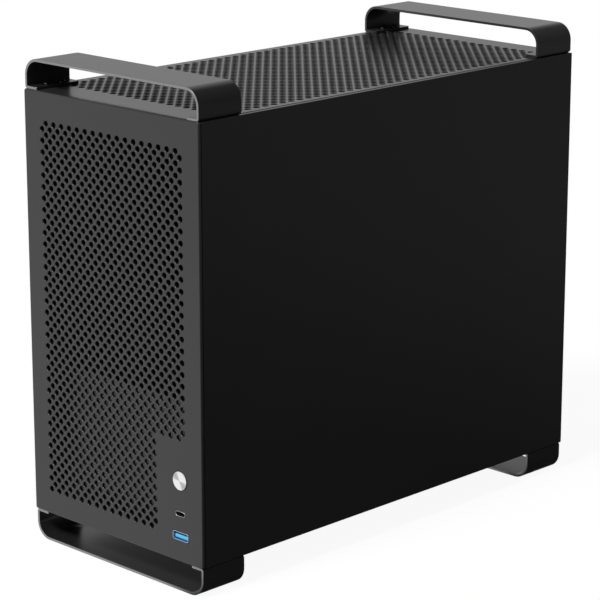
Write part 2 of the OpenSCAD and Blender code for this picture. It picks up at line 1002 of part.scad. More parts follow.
module front_io_spacers() {
  color([0.75, 0.65, 0.35])
    for (z = io_screw_zs)
      difference() {
        pin_y(io_screw_x, z, io_spacer_d, y_io_board + io_board_t, y_drive_plate);
        pin_y(io_screw_x, z, m3_d + 2 * shank_gap, y_io_board, y_drive_plate + past);
      }
}

module front_io_screws() {
  color([0.6, 0.6, 0.62])
    for (z = io_screw_zs)
      translate([io_screw_x, y_io_board, z])
        rotate([90, 0, 0])
          screw(io_board_t + io_spacer + frame_t + 1);
}

// Drive plate: a folded sheet across the lower front, with the holes of two small drives
drive_hole_x = 76.6;
drive_hole_z = 61.72;
drive_hole_d = 3.4;
drive_cx = -30;
over_nuts = 0.8;

module drive_plate() {
  x = x_post - frame_t;
  z0 = z_in_bot + frame_t + nut_collar[1] + over_nuts;
  z1 = z_bot + drive_plate_h;
  fold = 12;
  frame_colour()
    difference() {
      union() {
        block([-x, y_drive_plate, z0], [x, y_drive_plate + frame_t, z1]);
        for (s = [-1, 1])
          on_side(s)
            block([x - frame_t, y_drive_plate, z0], [x, y_drive_plate + fold, z1]);
      }
      for (sx = [-1, 1], sz = [-1, 1])
        pin_y(drive_cx + sx * drive_hole_x / 2, (z0 + z1) / 2 + sz * drive_hole_z / 2, drive_hole_d,
              y_drive_plate - past, y_drive_plate + frame_t + past);
      for (z = io_screw_zs)
        pin_y(io_screw_x, z, m3_d + 2 * shank_gap, y_drive_plate - past, y_drive_plate + frame_t + past);
    }
}

// Power supply shelf: the supply stands on it, behind the front frame, and its fan draws
// air through the window
shelf_window_w = 124;
shelf_web = 12;

module power_supply_shelf() {
  x = x_post - frame_t;
  z = z_bot + shelf_z;
  y0 = y_in_front + 2 * frame_t;
  y1 = y0 + shelf_d;
  fold = 30;
  frame_colour()
    difference() {
      union() {
        block([-x, y0, z - frame_t], [x, y1, z]);
        for (s = [-1, 1])
          on_side(s)
            block([x - frame_t, y0, z - fold], [x, y1, z]);
      }
      block([-shelf_window_w / 2, psu_y0 + shelf_web, z - frame_t - past],
            [shelf_window_w / 2, psu_y0 + psu_d - shelf_web, z + past]);
      for (p = psu_holes)
        translate([p[0] - psu_w / 2, psu_y0 + p[1], z - frame_t - past])
          cylinder(d = psu_hole_d, h = frame_t + 2 * past, $fn = round_fn);
    }
}

// Motherboard tray: a folded sheet between the right rails, open behind the processor
tray_margin = 12;
tray_y0 = y_board_rear - board_size - tray_margin;
tray_fold = 6;
cpu_y = y_board_rear - 90;
cpu_z = z_board + 160;
cpu_window = [120, 110];
stand_at = [for (c = [0 : 2], r = [0 : 2]) if (c < 2 || r != 1)
            [y_board_rear - hole_from_rear - hole_cols[c], z_board + hole_from_low + hole_rows[r]]];

module motherboard_tray() {
  z0 = z_in_bot + frame_t;
  z1 = z_in_top - frame_t;
  frame_colour()
    difference() {
      union() {
        block([x_tray - frame_t, tray_y0, z0], [x_tray, y_in_rear, z1]);
        block([x_tray - frame_t, tray_y0, z1 - frame_t], [x_tray + tray_fold, y_in_rear - frame_t, z1]);
        block([x_tray - frame_t, tray_y0, z0], [x_tray + tray_fold, y_in_rear - frame_t, z0 + frame_t]);
      }
      block([x_tray - frame_t - past, cpu_y - cpu_window[0] / 2, cpu_z - cpu_window[1] / 2],
            [x_tray + past, cpu_y + cpu_window[0] / 2, cpu_z + cpu_window[1] / 2]);
      for (p = stand_at)
        pin_x(p[0], p[1], m3_d, x_tray - frame_t - past, x_tray + past);
    }
}

// Hexagonal brass standoffs with a stud in the tray and a threaded hole for the board's screw
standoff_w = 5.8;
standoff_stud = 1.5;
standoff_bore_d = 2.5;
standoff_floor = 0.5;

module standoffs() {
  color([0.8, 0.65, 0.3])
    for (p = stand_at)
      translate([0, p[0], p[1]])
        difference() {
          union() {
            translate([x_board, 0, 0])
              rotate([0, 90, 0])
                cylinder(d = standoff_w, h = standoff_h, $fn = 6);
            pin_x(0, 0, m3_d - 2 * close_gap, x_board, x_tray + standoff_stud);
          }
          pin_x(0, 0, standoff_bore_d, x_board - past, x_board + standoff_h - standoff_floor);
        }
}

// Slot covers: flat strips inside the rear panel, with a tab that lies on the ledge outside
tab_short = 0.5;

module slot_cover(i) {
  z = rear_slots_z[i];
  color([0.17, 0.17, 0.18])
    difference() {
      union() {
        block([ledge_x - cover_t, y_in_rear - cover_t, z - cover_w / 2],
              [slot_x1 + cover_past, y_in_rear, z + cover_w / 2]);
        block([ledge_x - cover_t, y_in_rear - cover_t, z - cover_w / 2],
              [ledge_x, y_rear + ledge_out - tab_short, z + cover_w / 2]);
      }
      pin_x(slot_screw_y, z, m3_d + 2 * shank_gap, ledge_x - cover_t - past, ledge_x + past);
    }
}

module slot_cover_1() slot_cover(3);
module slot_cover_2() slot_cover(2);
module slot_cover_3() slot_cover(1);
module slot_cover_4() slot_cover(0);

slot_screw_len = 5;

module slot_screws() {
  color([0.6, 0.6, 0.62])
    for (z = rear_slots_z)
      translate([ledge_x - cover_t, slot_screw_y, z])
        rotate([0, -90, 0])
          screw(slot_screw_len);
}

// Mains inlet: a moulded housing with a flange outside the rear panel and three blades inside
inlet_flange = [31, 24, 2];
inlet_mouth = [12, 8.1];
inlet_chamfer = 5;
inlet_depth = 16;
inlet_len = 20;
blade = [2, 4];
blade_short = 4.6;
blade_at = [[-7, -2.6], [0, 1.4], [7, -2.6]];

module inlet_housing() {
  color([0.06, 0.06, 0.06])
    translate([inlet_x, 0, inlet_z])
      difference() {
        union() {
          upright(y_rear, inlet_flange[2])
            round_rect([-inlet_flange[0] / 2, -inlet_flange[1] / 2],
                       [inlet_flange[0] / 2, inlet_flange[1] / 2], 2);
          upright(y_rear - inlet_len, inlet_len)
            square(inlet_body, center = true);
        }
        upright(y_rear + inlet_flange[2] - inlet_depth, inlet_depth + past)
          polygon([
            [-inlet_mouth[0], -inlet_mouth[1]],
            [inlet_mouth[0], -inlet_mouth[1]],
            [inlet_mouth[0], inlet_mouth[1] - inlet_chamfer],
            [inlet_mouth[0] - inlet_chamfer, inlet_mouth[1]],
            [-inlet_mouth[0] + inlet_chamfer, inlet_mouth[1]],
            [-inlet_mouth[0], inlet_mouth[1] - inlet_chamfer]
          ]);
      }
}

module inlet_pins() {
  color([0.8, 0.75, 0.55])
    for (p = blade_at)
      translate([inlet_x + p[0], 0, inlet_z + p[1]])
        block([-blade[0] / 2, y_rear + inlet_flange[2] - inlet_depth, -blade[1] / 2],
              [blade[0] / 2, y_rear + inlet_flange[2] - blade_short, blade[1] / 2]);
}

front_panel();
top_panel();
bottom_panel();
left_side_panel();
right_side_panel();
rear_panel();
front_handle();
rear_handle();
front_foot();
rear_foot();
handle_screws();
foot_screws();
rail_nuts();
front_frame();
top_rail_left();
top_rail_right();
bottom_rail_left();
bottom_rail_right();
front_post_left();
front_post_right();
rear_post_left();
rear_post_right();
rear_rivets();
front_panel_studs();
front_panel_nuts();
left_panel_studs();
right_panel_studs();
left_panel_clips();
right_panel_clips();
power_button();
switch_plunger();
power_switch();
usb_c_shell();
usb_c_tongue();
usb_a_shell();
usb_a_tongue();
front_io_board();
front_io_spacers();
front_io_screws();
drive_plate();
power_supply_shelf();
motherboard_tray();
standoffs();
slot_cover_1();
slot_cover_2();
slot_cover_3();
slot_cover_4();
slot_screws();
inlet_housing();
inlet_pins();
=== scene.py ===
# %% [markdown]
# # A small computer case in powder-coated steel
# The case is a perforated metal body between four bent flat bars. Two bars are carrying handles
# and two are feet. Its construction comes in as a finished frame, and this lesson gives it its
# finish: powder coat, turned aluminium, plated steel and plastic, with the small turned and
# stamped pieces that a plain construction model leaves coarse.

import json
import math

import bmesh
import bpy
from mathutils import Matrix, Vector


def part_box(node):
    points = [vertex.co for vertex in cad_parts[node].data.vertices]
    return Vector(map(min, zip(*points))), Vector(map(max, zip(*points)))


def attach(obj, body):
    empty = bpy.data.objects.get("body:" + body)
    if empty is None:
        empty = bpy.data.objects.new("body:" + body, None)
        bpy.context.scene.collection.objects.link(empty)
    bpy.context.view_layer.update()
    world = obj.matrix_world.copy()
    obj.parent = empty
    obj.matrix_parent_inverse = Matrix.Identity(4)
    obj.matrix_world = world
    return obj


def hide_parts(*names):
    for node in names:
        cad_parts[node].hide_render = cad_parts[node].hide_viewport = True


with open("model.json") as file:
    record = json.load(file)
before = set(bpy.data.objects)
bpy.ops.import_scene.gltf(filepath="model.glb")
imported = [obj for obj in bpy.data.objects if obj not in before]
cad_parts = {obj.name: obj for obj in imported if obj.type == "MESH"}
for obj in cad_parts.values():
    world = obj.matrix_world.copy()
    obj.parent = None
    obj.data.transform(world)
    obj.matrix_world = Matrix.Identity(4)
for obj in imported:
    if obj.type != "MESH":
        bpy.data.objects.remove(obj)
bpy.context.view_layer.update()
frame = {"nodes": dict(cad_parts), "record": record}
MM = 0.001

# %% [markdown]
# ## The camera
# The picture is taken with a long lens from about 1.8 m away, so the body's long edges stay
# almost parallel. The body's seven visible corners in the photograph give the lens, the angle
# and the distance, and the camera is placed from those real sizes.

# %% Place the camera
LENS_MM = 149.8
SENSOR_MM = 36
VIEW_AZIMUTH = math.radians(44.6)
VIEW_ELEVATION = math.radians(15.18)
VIEW_DISTANCE = 1793.5 * MM
aim = Vector((-1.3, -12.7, 154.3)) * MM

backwards = Vector((
    math.sin(VIEW_AZIMUTH) * math.cos(VIEW_ELEVATION),
    -math.cos(VIEW_AZIMUTH) * math.cos(VIEW_ELEVATION),
    math.sin(VIEW_ELEVATION),
))
camera_data = bpy.data.cameras.new("camera")
camera_data.lens = LENS_MM
camera_data.sensor_width = SENSOR_MM
camera = bpy.data.objects.new("camera", camera_data)
camera.location = aim + backwards * VIEW_DISTANCE
camera.rotation_euler = (-backwards).to_track_quat("-Z", "Y").to_euler()
bpy.context.scene.collection.objects.link(camera)
bpy.context.scene.camera = camera
print("camera at", [round(v, 3) for v in camera.location])

# %% [markdown]
# ## Node helpers
# Every material below is a small tree of nodes. One function adds a node with its settings and
# its links, and one turns a colour as written on screen into the linear light that a shader
# works in.

# %% Colour and node helpers
def linear(hex_colour):
    """An sRGB colour such as #808080 as linear red, green, blue and alpha."""
    channels = [int(hex_colour[i:i + 2], 16) / 255 for i in (1, 3, 5)]
    return [c / 12.92 if c <= 0.04045 else ((c + 0.055) / 1.055) ** 2.4 for c in channels] + [1.0]


def add_node(tree, kind, settings=None, links=None):
    """Adds a node. Settings are sockets or properties by name, and links join sockets to outputs."""
    node = tree.nodes.new(kind)
    for name, value in (settings or {}).items():
        if name in node.inputs:
            node.inputs[name].default_value = value
        else:
            setattr(node, name, value)
    for name, source in (links or {}).items():
        tree.links.new(source, node.inputs[name])
    return node


def new_material(name):
    """An empty material with a shader joined to its output."""
    material = bpy.data.materials.new(name)
    material.use_nodes = True
    tree = material.node_tree
    tree.nodes.clear()
    shader = add_node(tree, "ShaderNodeBsdfPrincipled")
    add_node(tree, "ShaderNodeOutputMaterial", links={"Surface": shader.outputs["BSDF"]})
    return material, tree, shader


print("mid grey in linear light", round(linear("#808080")[0], 3))

# %% [markdown]
# ## Light and background
# Dark satin paint shows its surroundings more than its own colour. The front reflects the white
# floor before it, the top reflects the white background at a flat angle and looks much lighter,
# and the right side stays almost black because a photographer keeps that side of the studio
# dark. So the light is plain: one soft key from above the front, a weak even fill, and white
# surroundings, with the right-hand side left dark for reflections only.

# %% Light the scene
scene = bpy.context.scene
scene.view_settings.view_transform = "Standard"

KEY_STRENGTH = 3.2
KEY_ANGLE = math.radians(16)
KEY_FROM = Vector((0.0, -0.62, 0.78))
FILL = 0.3
key_data = bpy.data.lights.new("key_light", "SUN")
key_data.energy = KEY_STRENGTH
key_data.angle = KEY_ANGLE
key_light = bpy.data.objects.new("key_light", key_data)
key_light.location = KEY_FROM
key_light.rotation_euler = KEY_FROM.to_track_quat("Z", "Y").to_euler()
scene.collection.objects.link(key_light)
print("key light from", [round(v, 2) for v in KEY_FROM.normalized()])

# %% [markdown]
# ## What a ray sees of the studio
# The white is shown to the camera, to glossy rays and to rays that pass through something clear,
# and only the fill is left for light on matt surfaces. For glossy rays alone it fades out
# towards the dark side of the studio.

# %% Ray kinds
DARK_SIDE = Vector((0.7, 0.71, 0.0))
DARK_STARTS, DARK_FULL = 0.1, 0.45
SKY_IN_GLOSS = 0.66
DARK_SHARE = 0.1


def whites_for(tree, open_share):
    """How much of the white a ray sees: all of it straight, and the open share in a reflection."""
    path = add_node(tree, "ShaderNodeLightPath")
    straight = add_node(tree, "ShaderNodeMath", {"operation": "MAXIMUM"})
    tree.links.new(path.outputs["Is Camera Ray"], straight.inputs[0])
    tree.links.new(path.outputs["Is Transmission Ray"], straight.inputs[1])
    mirrored = add_node(tree, "ShaderNodeMath", {"operation": "MULTIPLY"})
    tree.links.new(path.outputs["Is Glossy Ray"], mirrored.inputs[0])
    tree.links.new(open_share, mirrored.inputs[1])
    either = add_node(tree, "ShaderNodeMath", {"operation": "MAXIMUM"})
    tree.links.new(straight.outputs[0], either.inputs[0])
    tree.links.new(mirrored.outputs[0], either.inputs[1])
    return path, either.outputs[0]


world = bpy.data.worlds.new("studio")
scene.world = world
world.use_nodes = True
sky = world.node_tree
sky.nodes.clear()
sky_place = add_node(sky, "ShaderNodeTexCoord")
towards_dark = add_node(sky, "ShaderNodeVectorMath", {"operation": "DOT_PRODUCT"})
sky.links.new(sky_place.outputs["Generated"], towards_dark.inputs[0])
towards_dark.inputs[1].default_value = DARK_SIDE
sky_open = add_node(sky, "ShaderNodeMapRange",
                    {"interpolation_type": "SMOOTHSTEP",
                     "From Min": DARK_STARTS, "From Max": DARK_FULL,
                     "To Min": SKY_IN_GLOSS, "To Max": DARK_SHARE * SKY_IN_GLOSS},
                    {"Value": towards_dark.outputs["Value"]})
sky_path, sky_white = whites_for(sky, sky_open.outputs[0])
sky_level = add_node(sky, "ShaderNodeMath", {"operation": "MAXIMUM"})
sky.links.new(sky_white, sky_level.inputs[0])
diffuse_fill = add_node(sky, "ShaderNodeMath", {"operation": "MULTIPLY"})
sky.links.new(sky_path.outputs["Is Diffuse Ray"], diffuse_fill.inputs[0])
diffuse_fill.inputs[1].default_value = FILL
sky.links.new(diffuse_fill.outputs[0], sky_level.inputs[1])
background = add_node(sky, "ShaderNodeBackground", {"Color": linear("#ffffff")},
                      {"Strength": sky_level.outputs[0]})
add_node(sky, "ShaderNodeOutputWorld", links={"Surface": background.outputs[0]})
print("world of", len(sky.nodes), "nodes")

# %% [markdown]
# ## The floor
# White paper on a table: seen straight it is mostly glow, so that it reaches white, and partly a
# matt sheet, so that it keeps the case's soft shadow. Matt surfaces get only a grey's worth of
# light back from it. In reflections it is dark on the right of the case too, and a little less
# dark far behind it, so that the side panel keeps its faint gradient.

# %% Lay the floor
FLOOR_WIDTH = 40.0
floor_mesh = bmesh.new()
bmesh.ops.create_grid(floor_mesh, x_segments=1, y_segments=1, size=FLOOR_WIDTH / 2)
floor_data = bpy.data.meshes.new("floor")
floor_mesh.to_mesh(floor_data)
floor_mesh.free()
floor = bpy.data.objects.new("floor", floor_data)
scene.collection.objects.link(floor)
print("floor", FLOOR_WIDTH, "m wide")

# %% White paper on the floor
CAMERA_GLOW = 0.93
MIRROR_GLOW = 0.67
PAPER_BOUNCE = 0.5
DARK_FROM_X, DARK_TO_X = 40 * MM, 84 * MM
FAR_FROM_Y, FAR_TO_Y = 150 * MM, 750 * MM
NEAR_OPEN, FAR_OPEN = 0.02, 0.14

white_paper = bpy.data.materials.new("white_paper")
white_paper.use_nodes = True
paper = white_paper.node_tree
paper.nodes.clear()
paper_place = add_node(paper, "ShaderNodeTexCoord")
paper_xyz = add_node(paper, "ShaderNodeSeparateXYZ", links={"Vector": paper_place.outputs["Object"]})
paper_back = add_node(paper, "ShaderNodeMapRange",
                      {"From Min": FAR_FROM_Y, "From Max": FAR_TO_Y,
                       "To Min": NEAR_OPEN, "To Max": FAR_OPEN},
                      {"Value": paper_xyz.outputs["Y"]})
paper_open = add_node(paper, "ShaderNodeMapRange",
                      {"interpolation_type": "SMOOTHSTEP",
                       "From Min": DARK_FROM_X, "From Max": DARK_TO_X, "To Min": 1.0},
                      {"Value": paper_xyz.outputs["X"], "To Max": paper_back.outputs[0]})
paper_path, paper_white = whites_for(paper, paper_open.outputs[0])
bounce = add_node(paper, "ShaderNodeMath", {"operation": "MULTIPLY"})
paper.links.new(paper_path.outputs["Is Diffuse Ray"], bounce.inputs[0])
bounce.inputs[1].default_value = PAPER_BOUNCE
tone = add_node(paper, "ShaderNodeMath", {"operation": "MAXIMUM"})
paper.links.new(paper_white, tone.inputs[0])
paper.links.new(bounce.outputs[0], tone.inputs[1])
matt = add_node(paper, "ShaderNodeBsdfDiffuse", links={"Color": tone.outputs[0]})
glow = add_node(paper, "ShaderNodeEmission", {"Strength": 1.0}, {"Color": tone.outputs[0]})
camera_share = add_node(paper, "ShaderNodeMath", {"operation": "MULTIPLY"})
paper.links.new(paper_path.outputs["Is Camera Ray"], camera_share.inputs[0])
camera_share.inputs[1].default_value = CAMERA_GLOW
mirror_share = add_node(paper, "ShaderNodeMath", {"operation": "MULTIPLY_ADD"})
paper.links.new(paper_path.outputs["Is Glossy Ray"], mirror_share.inputs[0])
mirror_share.inputs[1].default_value = MIRROR_GLOW
paper.links.new(camera_share.outputs[0], mirror_share.inputs[2])
clear_share = add_node(paper, "ShaderNodeMath", {"operation": "MULTIPLY_ADD"})
paper.links.new(paper_path.outputs["Is Transmission Ray"], clear_share.inputs[0])
clear_share.inputs[1].default_value = CAMERA_GLOW
paper.links.new(mirror_share.outputs[0], clear_share.inputs[2])
paper_mix = add_node(paper, "ShaderNodeMixShader", links={"Fac": clear_share.outputs[0]})
paper.links.new(matt.outputs[0], paper_mix.inputs[1])
paper.links.new(glow.outputs[0], paper_mix.inputs[2])
add_node(paper, "ShaderNodeOutputMaterial", links={"Surface": paper_mix.outputs[0]})
floor_data.materials.append(white_paper)
print("paper of", len(paper.nodes), "nodes")

# %% [markdown]
# ## Powder coat
# The steel is powder coated: a dry plastic powder is baked on to it. This one is nearly black
# and satin, so most of what the eye gets is reflected light, a little at a steep angle and a
# quarter of it at a flat one. Its grain is a few tenths of a millimetre. The Bevel node rounds
# the shading of each sheet edge and hole rim without touching the mesh, as paint does. On the
# bent bars the front and back edges of the flat bar get a pale metal colour, a painted highlight.
# The bore walls get a near-black matt coat, as painted shade in the holes.

# %% Powder coat materials
CLOUD_SIZE = 60 * MM
CLOUD_SPREAD = 0.08
GRAIN_SIZE = 0.5 * MM
GRAIN_DEPTH = 0.02 * MM
# The pale metal colour of the painted highlight on the bars' edges.
EDGE_HIGHLIGHT_COLOUR = "#8c8c8c"


def powder_coat(name, colour, roughness, specular, edge_mm, painted_edge_highlight=None):
    """A satin baked powder coat on sheet steel, with a pale painted highlight on edges across Y if
    asked.
    """
    material, tree, shader = new_material(name)
    place = add_node(tree, "ShaderNodeTexCoord")
    cloud = add_node(tree, "ShaderNodeTexNoise", {"Scale": 1 / CLOUD_SIZE, "Detail": 3.0},
                     {"Vector": place.outputs["Object"]})
    tone = add_node(tree, "ShaderNodeMapRange",
                    {"To Min": 1 - CLOUD_SPREAD, "To Max": 1 + CLOUD_SPREAD},
                    {"Value": cloud.outputs["Fac"]})
    paint = add_node(tree, "ShaderNodeMix", {"data_type": "RGBA", "blend_type": "MULTIPLY"})
    paint.inputs["Factor"].default_value = 1.0
    paint.inputs[6].default_value = linear(colour)
    tree.links.new(tone.outputs[0], paint.inputs[7])
    colour_out = paint.outputs[2]
    # Faces across Y take the pale metal colour and turn metallic: a painted edge highlight.
    if painted_edge_highlight:
        facing = add_node(tree, "ShaderNodeSeparateXYZ", links={"Vector": place.outputs["Normal"]})
        across = add_node(tree, "ShaderNodeMath", {"operation": "ABSOLUTE"})
        tree.links.new(facing.outputs["Y"], across.inputs[0])
        bare = add_node(tree, "ShaderNodeMapRange", {"From Min": 0.7, "From Max": 0.9},
                        {"Value": across.outputs[0]})
        highlight_tone = add_node(tree, "ShaderNodeMix", {"data_type": "RGBA"},
                             {"Factor": bare.outputs[0]})
        tree.links.new(colour_out, highlight_tone.inputs[6])
        highlight_tone.inputs[7].default_value = linear(painted_edge_highlight)
        colour_out = highlight_tone.outputs[2]
        tree.links.new(bare.outputs[0], shader.inputs["Metallic"])
    tree.links.new(colour_out, shader.inputs["Base Color"])
    grain = add_node(tree, "ShaderNodeTexNoise", {"Scale": 1 / GRAIN_SIZE, "Detail": 2.0},
                     {"Vector": place.outputs["Object"]})
    edge = add_node(tree, "ShaderNodeBevel", {"samples": 4, "Radius": edge_mm * MM})
    bump = add_node(tree, "ShaderNodeBump", {"Strength": 0.15, "Distance": GRAIN_DEPTH},
                    {"Height": grain.outputs["Fac"], "Normal": edge.outputs["Normal"]})
    tree.links.new(bump.outputs["Normal"], shader.inputs["Normal"])
    shader.inputs["Roughness"].default_value = roughness
    shader.inputs["Specular IOR Level"].default_value = specular
    return material


charcoal_coat = powder_coat("charcoal_powder_coat", "#272727", 0.28, 0.4, edge_mm=0.2)
bar_coat = powder_coat("charcoal_powder_coat_on_bars", "#1e1e1f", 0.28, 0.4, edge_mm=0.6,
                       painted_edge_highlight=EDGE_HIGHLIGHT_COLOUR)
black_coat = powder_coat("black_powder_coat", "#1e1e1f", 0.3, 0.4, edge_mm=0.2)
# The bore walls' near-black matt coat is painted shade in the holes.
bore_shade_coat = powder_coat("matt_coat_with_painted_shade_in_holes", "#080808", 0.7, 0.1, edge_mm=0.1)
print("powder coats", charcoal_coat.name, bar_coat.name, black_coat.name, bore_shade_coat.name)

# %% [markdown]
# ## Bare and plated metals
# The small parts are plated or bare: screws in black oxide or zinc, brass standoffs, nickel-plated
# connector shells and a turned aluminium button. Each is a metal with its own tint, and a fine
# noise breaks up its roughness, because a perfectly even metal looks like plastic.

# %% Metal materials
def metal(name, colour, roughness, grain_mm=0.3, spread=0.1):
    """A bare or plated metal with slightly uneven roughness."""
    material, tree, shader = new_material(name)
    place = add_node(tree, "ShaderNodeTexCoord")
    noise = add_node(tree, "ShaderNodeTexNoise", {"Scale": 1 / (grain_mm * MM), "Detail": 3.0},
                     {"Vector": place.outputs["Object"]})
    rough = add_node(tree, "ShaderNodeMapRange",
                     {"To Min": max(roughness - spread, 0.03), "To Max": roughness + spread},
                     {"Value": noise.outputs["Fac"]})
    tree.links.new(rough.outputs[0], shader.inputs["Roughness"])
    edge = add_node(tree, "ShaderNodeBevel", {"samples": 4, "Radius": 0.15 * MM})
    tree.links.new(edge.outputs["Normal"], shader.inputs["Normal"])
    shader.inputs["Base Color"].default_value = linear(colour)
    shader.inputs["Metallic"].default_value = 1.0
    return material


# Zinc plate is a soft grey, brass a dull yellow, and nickel nearly white with a cool tint.
zinc_sheet = metal("zinc_plated_sheet", "#9a9c9e", 0.42, grain_mm=6, spread=0.08)
zinc_fixing = metal("zinc_plated_fixing", "#b9babb", 0.32)
black_oxide = metal("black_oxide_steel", "#2b2b2d", 0.4)
nickel_plate = metal("nickel_plated_steel", "#bfc1c9", 0.42)
rivet_alloy = metal("rivet_aluminium", "#bdbec0", 0.38)
brass = metal("turned_brass", "#b9954f", 0.3)
turned_aluminium = metal("turned_aluminium", "#dcdcdd", 0.28)
print("metals ready")

# %% [markdown]
# ## Plastics and the circuit board
# Connector tongues, the inlet and the clips are moulded plastic. The board is glass epoxy under
# green solder resist, which is glossy because it is a varnish.

# %% Plastic materials
def plastic(name, colour, roughness, grain_mm=0.25):
    """A moulded plastic with a fine spark-eroded grain."""
    material, tree, shader = new_material(name)
    place = add_node(tree, "ShaderNodeTexCoord")
    noise = add_node(tree, "ShaderNodeTexNoise", {"Scale": 1 / (grain_mm * MM), "Detail": 2.0},
                     {"Vector": place.outputs["Object"]})
    edge = add_node(tree, "ShaderNodeBevel", {"samples": 4, "Radius": 0.2 * MM})
    bump = add_node(tree, "ShaderNodeBump", {"Strength": 0.25, "Distance": 0.02 * MM},
                    {"Height": noise.outputs["Fac"], "Normal": edge.outputs["Normal"]})
    tree.links.new(bump.outputs["Normal"], shader.inputs["Normal"])
    shader.inputs["Base Color"].default_value = linear(colour)
    shader.inputs["Roughness"].default_value = roughness
    return material


# Moulded surfaces are satin, and the bright blue block and the board's varnish are glossier.
black_plastic = plastic("moulded_black_plastic", "#141414", 0.45)
blue_plastic = plastic("moulded_blue_plastic", "#45b4f0", 0.25)
# A darker copy of the blue plastic, as painted shade at the back of the large port.
blue_plastic_in_painted_shade = plastic("moulded_blue_plastic_in_painted_shade", "#10243f", 0.5)
natural_nylon = plastic("natural_nylon", "#d8d5ca", 0.5)
solder_resist = plastic("green_solder_resist", "#0f3d24", 0.25, grain_mm=1.5)
print("plastics ready")

# %% [markdown]
# ## Dressing the frame
# Each piece of the frame keeps its shape and gets the material that the real one is made of,
# through the finish slot that the record gives it.

# %% Put the materials on the frame
SLOT_MATERIALS = {
    "charcoal_powder_coat": charcoal_coat,
    "black_powder_coat": black_coat,
    "grey_steel": zinc_sheet,
    "black_steel": black_oxide,
    "zinc_plated_steel": zinc_fixing,
    "rivet_aluminium": rivet_alloy,
    "natural_nylon": natural_nylon,
    "button_aluminium": turned_aluminium,
    "bright_steel": nickel_plate,
    "black_plastic": black_plastic,
    "blue_plastic": blue_plastic,
    "circuit_board": solder_resist,
    "brass": brass,
}
# These bars carry the painted highlight on their front and back edges.
PALE_EDGED_BARS = ("front_handle", "front_foot", "rear_foot")
for part in frame["record"]["subparts"]:
    piece = frame["nodes"][part["node"]]
    coat = bar_coat if part["node"] in PALE_EDGED_BARS else SLOT_MATERIALS[part["material_slot"]]
    piece.data.materials.clear()
    piece.data.materials.append(coat)

# %% [markdown]
# ## Helpers for small turned and moulded pieces
# A construction model keeps small pieces plain, so the ones that the eye can reach are made
# again here: the button, the screws and the two ports. Each takes its place and its size from
# the plain piece that it stands for, so it can't drift away from the frame.

# %% Piece helpers
WELD = 0.002 * MM


def finish_piece(name, shape, body, materials, replaces=(), sharp_deg=32):
    """Turns a bmesh into a piece that rides on a body and stands for frame pieces."""
    bmesh.ops.remove_doubles(shape, verts=shape.verts, dist=0.001 * MM)
    bmesh.ops.recalc_face_normals(shape, faces=shape.faces)
    data = bpy.data.meshes.new(name)
    shape.to_mesh(data)
    shape.free()
    data.shade_smooth()
    data.set_sharp_from_angle(angle=math.radians(sharp_deg))
    for material in materials:
        data.materials.append(material)
    piece = bpy.data.objects.new(name, data)
    scene.collection.objects.link(piece)
    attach(piece, body)
    if replaces:
        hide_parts(*replaces)
    print(name, "has", len(data.polygons), "faces")
    return piece


def turned(profile, steps=48):
    """A shape turned on Z from a profile of radius and height, closed at the axis."""
    shape = bmesh.new()
    verts = [shape.verts.new((radius, 0, height)) for radius, height in profile]
    edges = [shape.edges.new(pair) for pair in zip(verts, verts[1:])]
    bmesh.ops.spin(shape, geom=verts + edges, axis=(0, 0, 1), cent=(0, 0, 0),
                   angle=math.tau, steps=steps, use_merge=True)
    bmesh.ops.remove_doubles(shape, verts=shape.verts, dist=0.0005 * MM)
    return shape


def add_copy(shape, pattern, matrix):
    """Adds a copy of a mesh to a bmesh, moved by a matrix."""
    copy = pattern.copy()
    copy.transform(matrix)
    shape.from_mesh(copy)
    bpy.data.meshes.remove(copy)


def merge(shape, other):
    """Adds another bmesh to a bmesh, and frees it."""
    mesh = bpy.data.meshes.new("pattern")
    other.to_mesh(mesh)
    other.free()
    shape.from_mesh(mesh)
    bpy.data.meshes.remove(mesh)


def loose_boxes(node):
    """The lowest and highest corner of each loose part of a frame piece."""
    shape = bmesh.new()
    shape.from_mesh(frame["nodes"][node].data)
    bmesh.ops.remove_doubles(shape, verts=shape.verts, dist=WELD)
    waiting = set(shape.verts)
    boxes = []
    while waiting:
        reached = [waiting.pop()]
        corners = []
        while reached:
            vert = reached.pop()
            corners.append(vert.co.copy())
            for edge in vert.link_edges:
                other = edge.other_vert(vert)
                if other in waiting:
                    waiting.remove(other)
                    reached.append(other)
        boxes.append((Vector([min(c[i] for c in corners) for i in range(3)]),
                      Vector([max(c[i] for c in corners) for i in range(3)])))
    shape.free()
    return sorted(boxes, key=lambda box: tuple(box[0]))


print("handle screws found:", len(loose_boxes("handle_screws")))

# %% [markdown]
# ## The perforated plates
# The holes are punched, so on the outside their rims are rolled over, and a flat look along the
# plate shows each one wider and darker than its bore. The frame has the bores with plain rims.
# One way is to bevel every rim of that mesh, but it would double its faces. Here each plate is a
# rounded block, and one mesh of all its cutters is taken out of it by a single Boolean. Each
# opening's place comes from the walls in the frame's plate, and a cutter is turned on a profile
# whose top flares out in a quarter circle.

# %% Find the openings of a frame plate
def openings_through(node, axis):
    """The corner points of each opening through a plate, as sets of wall points."""
    shape = bmesh.new()
    shape.from_mesh(frame["nodes"][node].data)
    bmesh.ops.remove_doubles(shape, verts=shape.verts, dist=WELD)
    walls = {face for face in shape.faces if abs(face.normal[axis]) < 0.3}
    found = []
    while walls:
        reached = [walls.pop()]
        points = set()
        while reached:
            face = reached.pop()
            points.update(tuple(vert.co) for vert in face.verts)
            for neighbour in {f for edge in face.edges for f in edge.link_faces} & walls:
                walls.remove(neighbour)
                reached.append(neighbour)
        found.append([Vector(point) for point in points])
    shape.free()
    found.sort(key=lambda points: (len(points), tuple(min(points, key=tuple))))
    return found


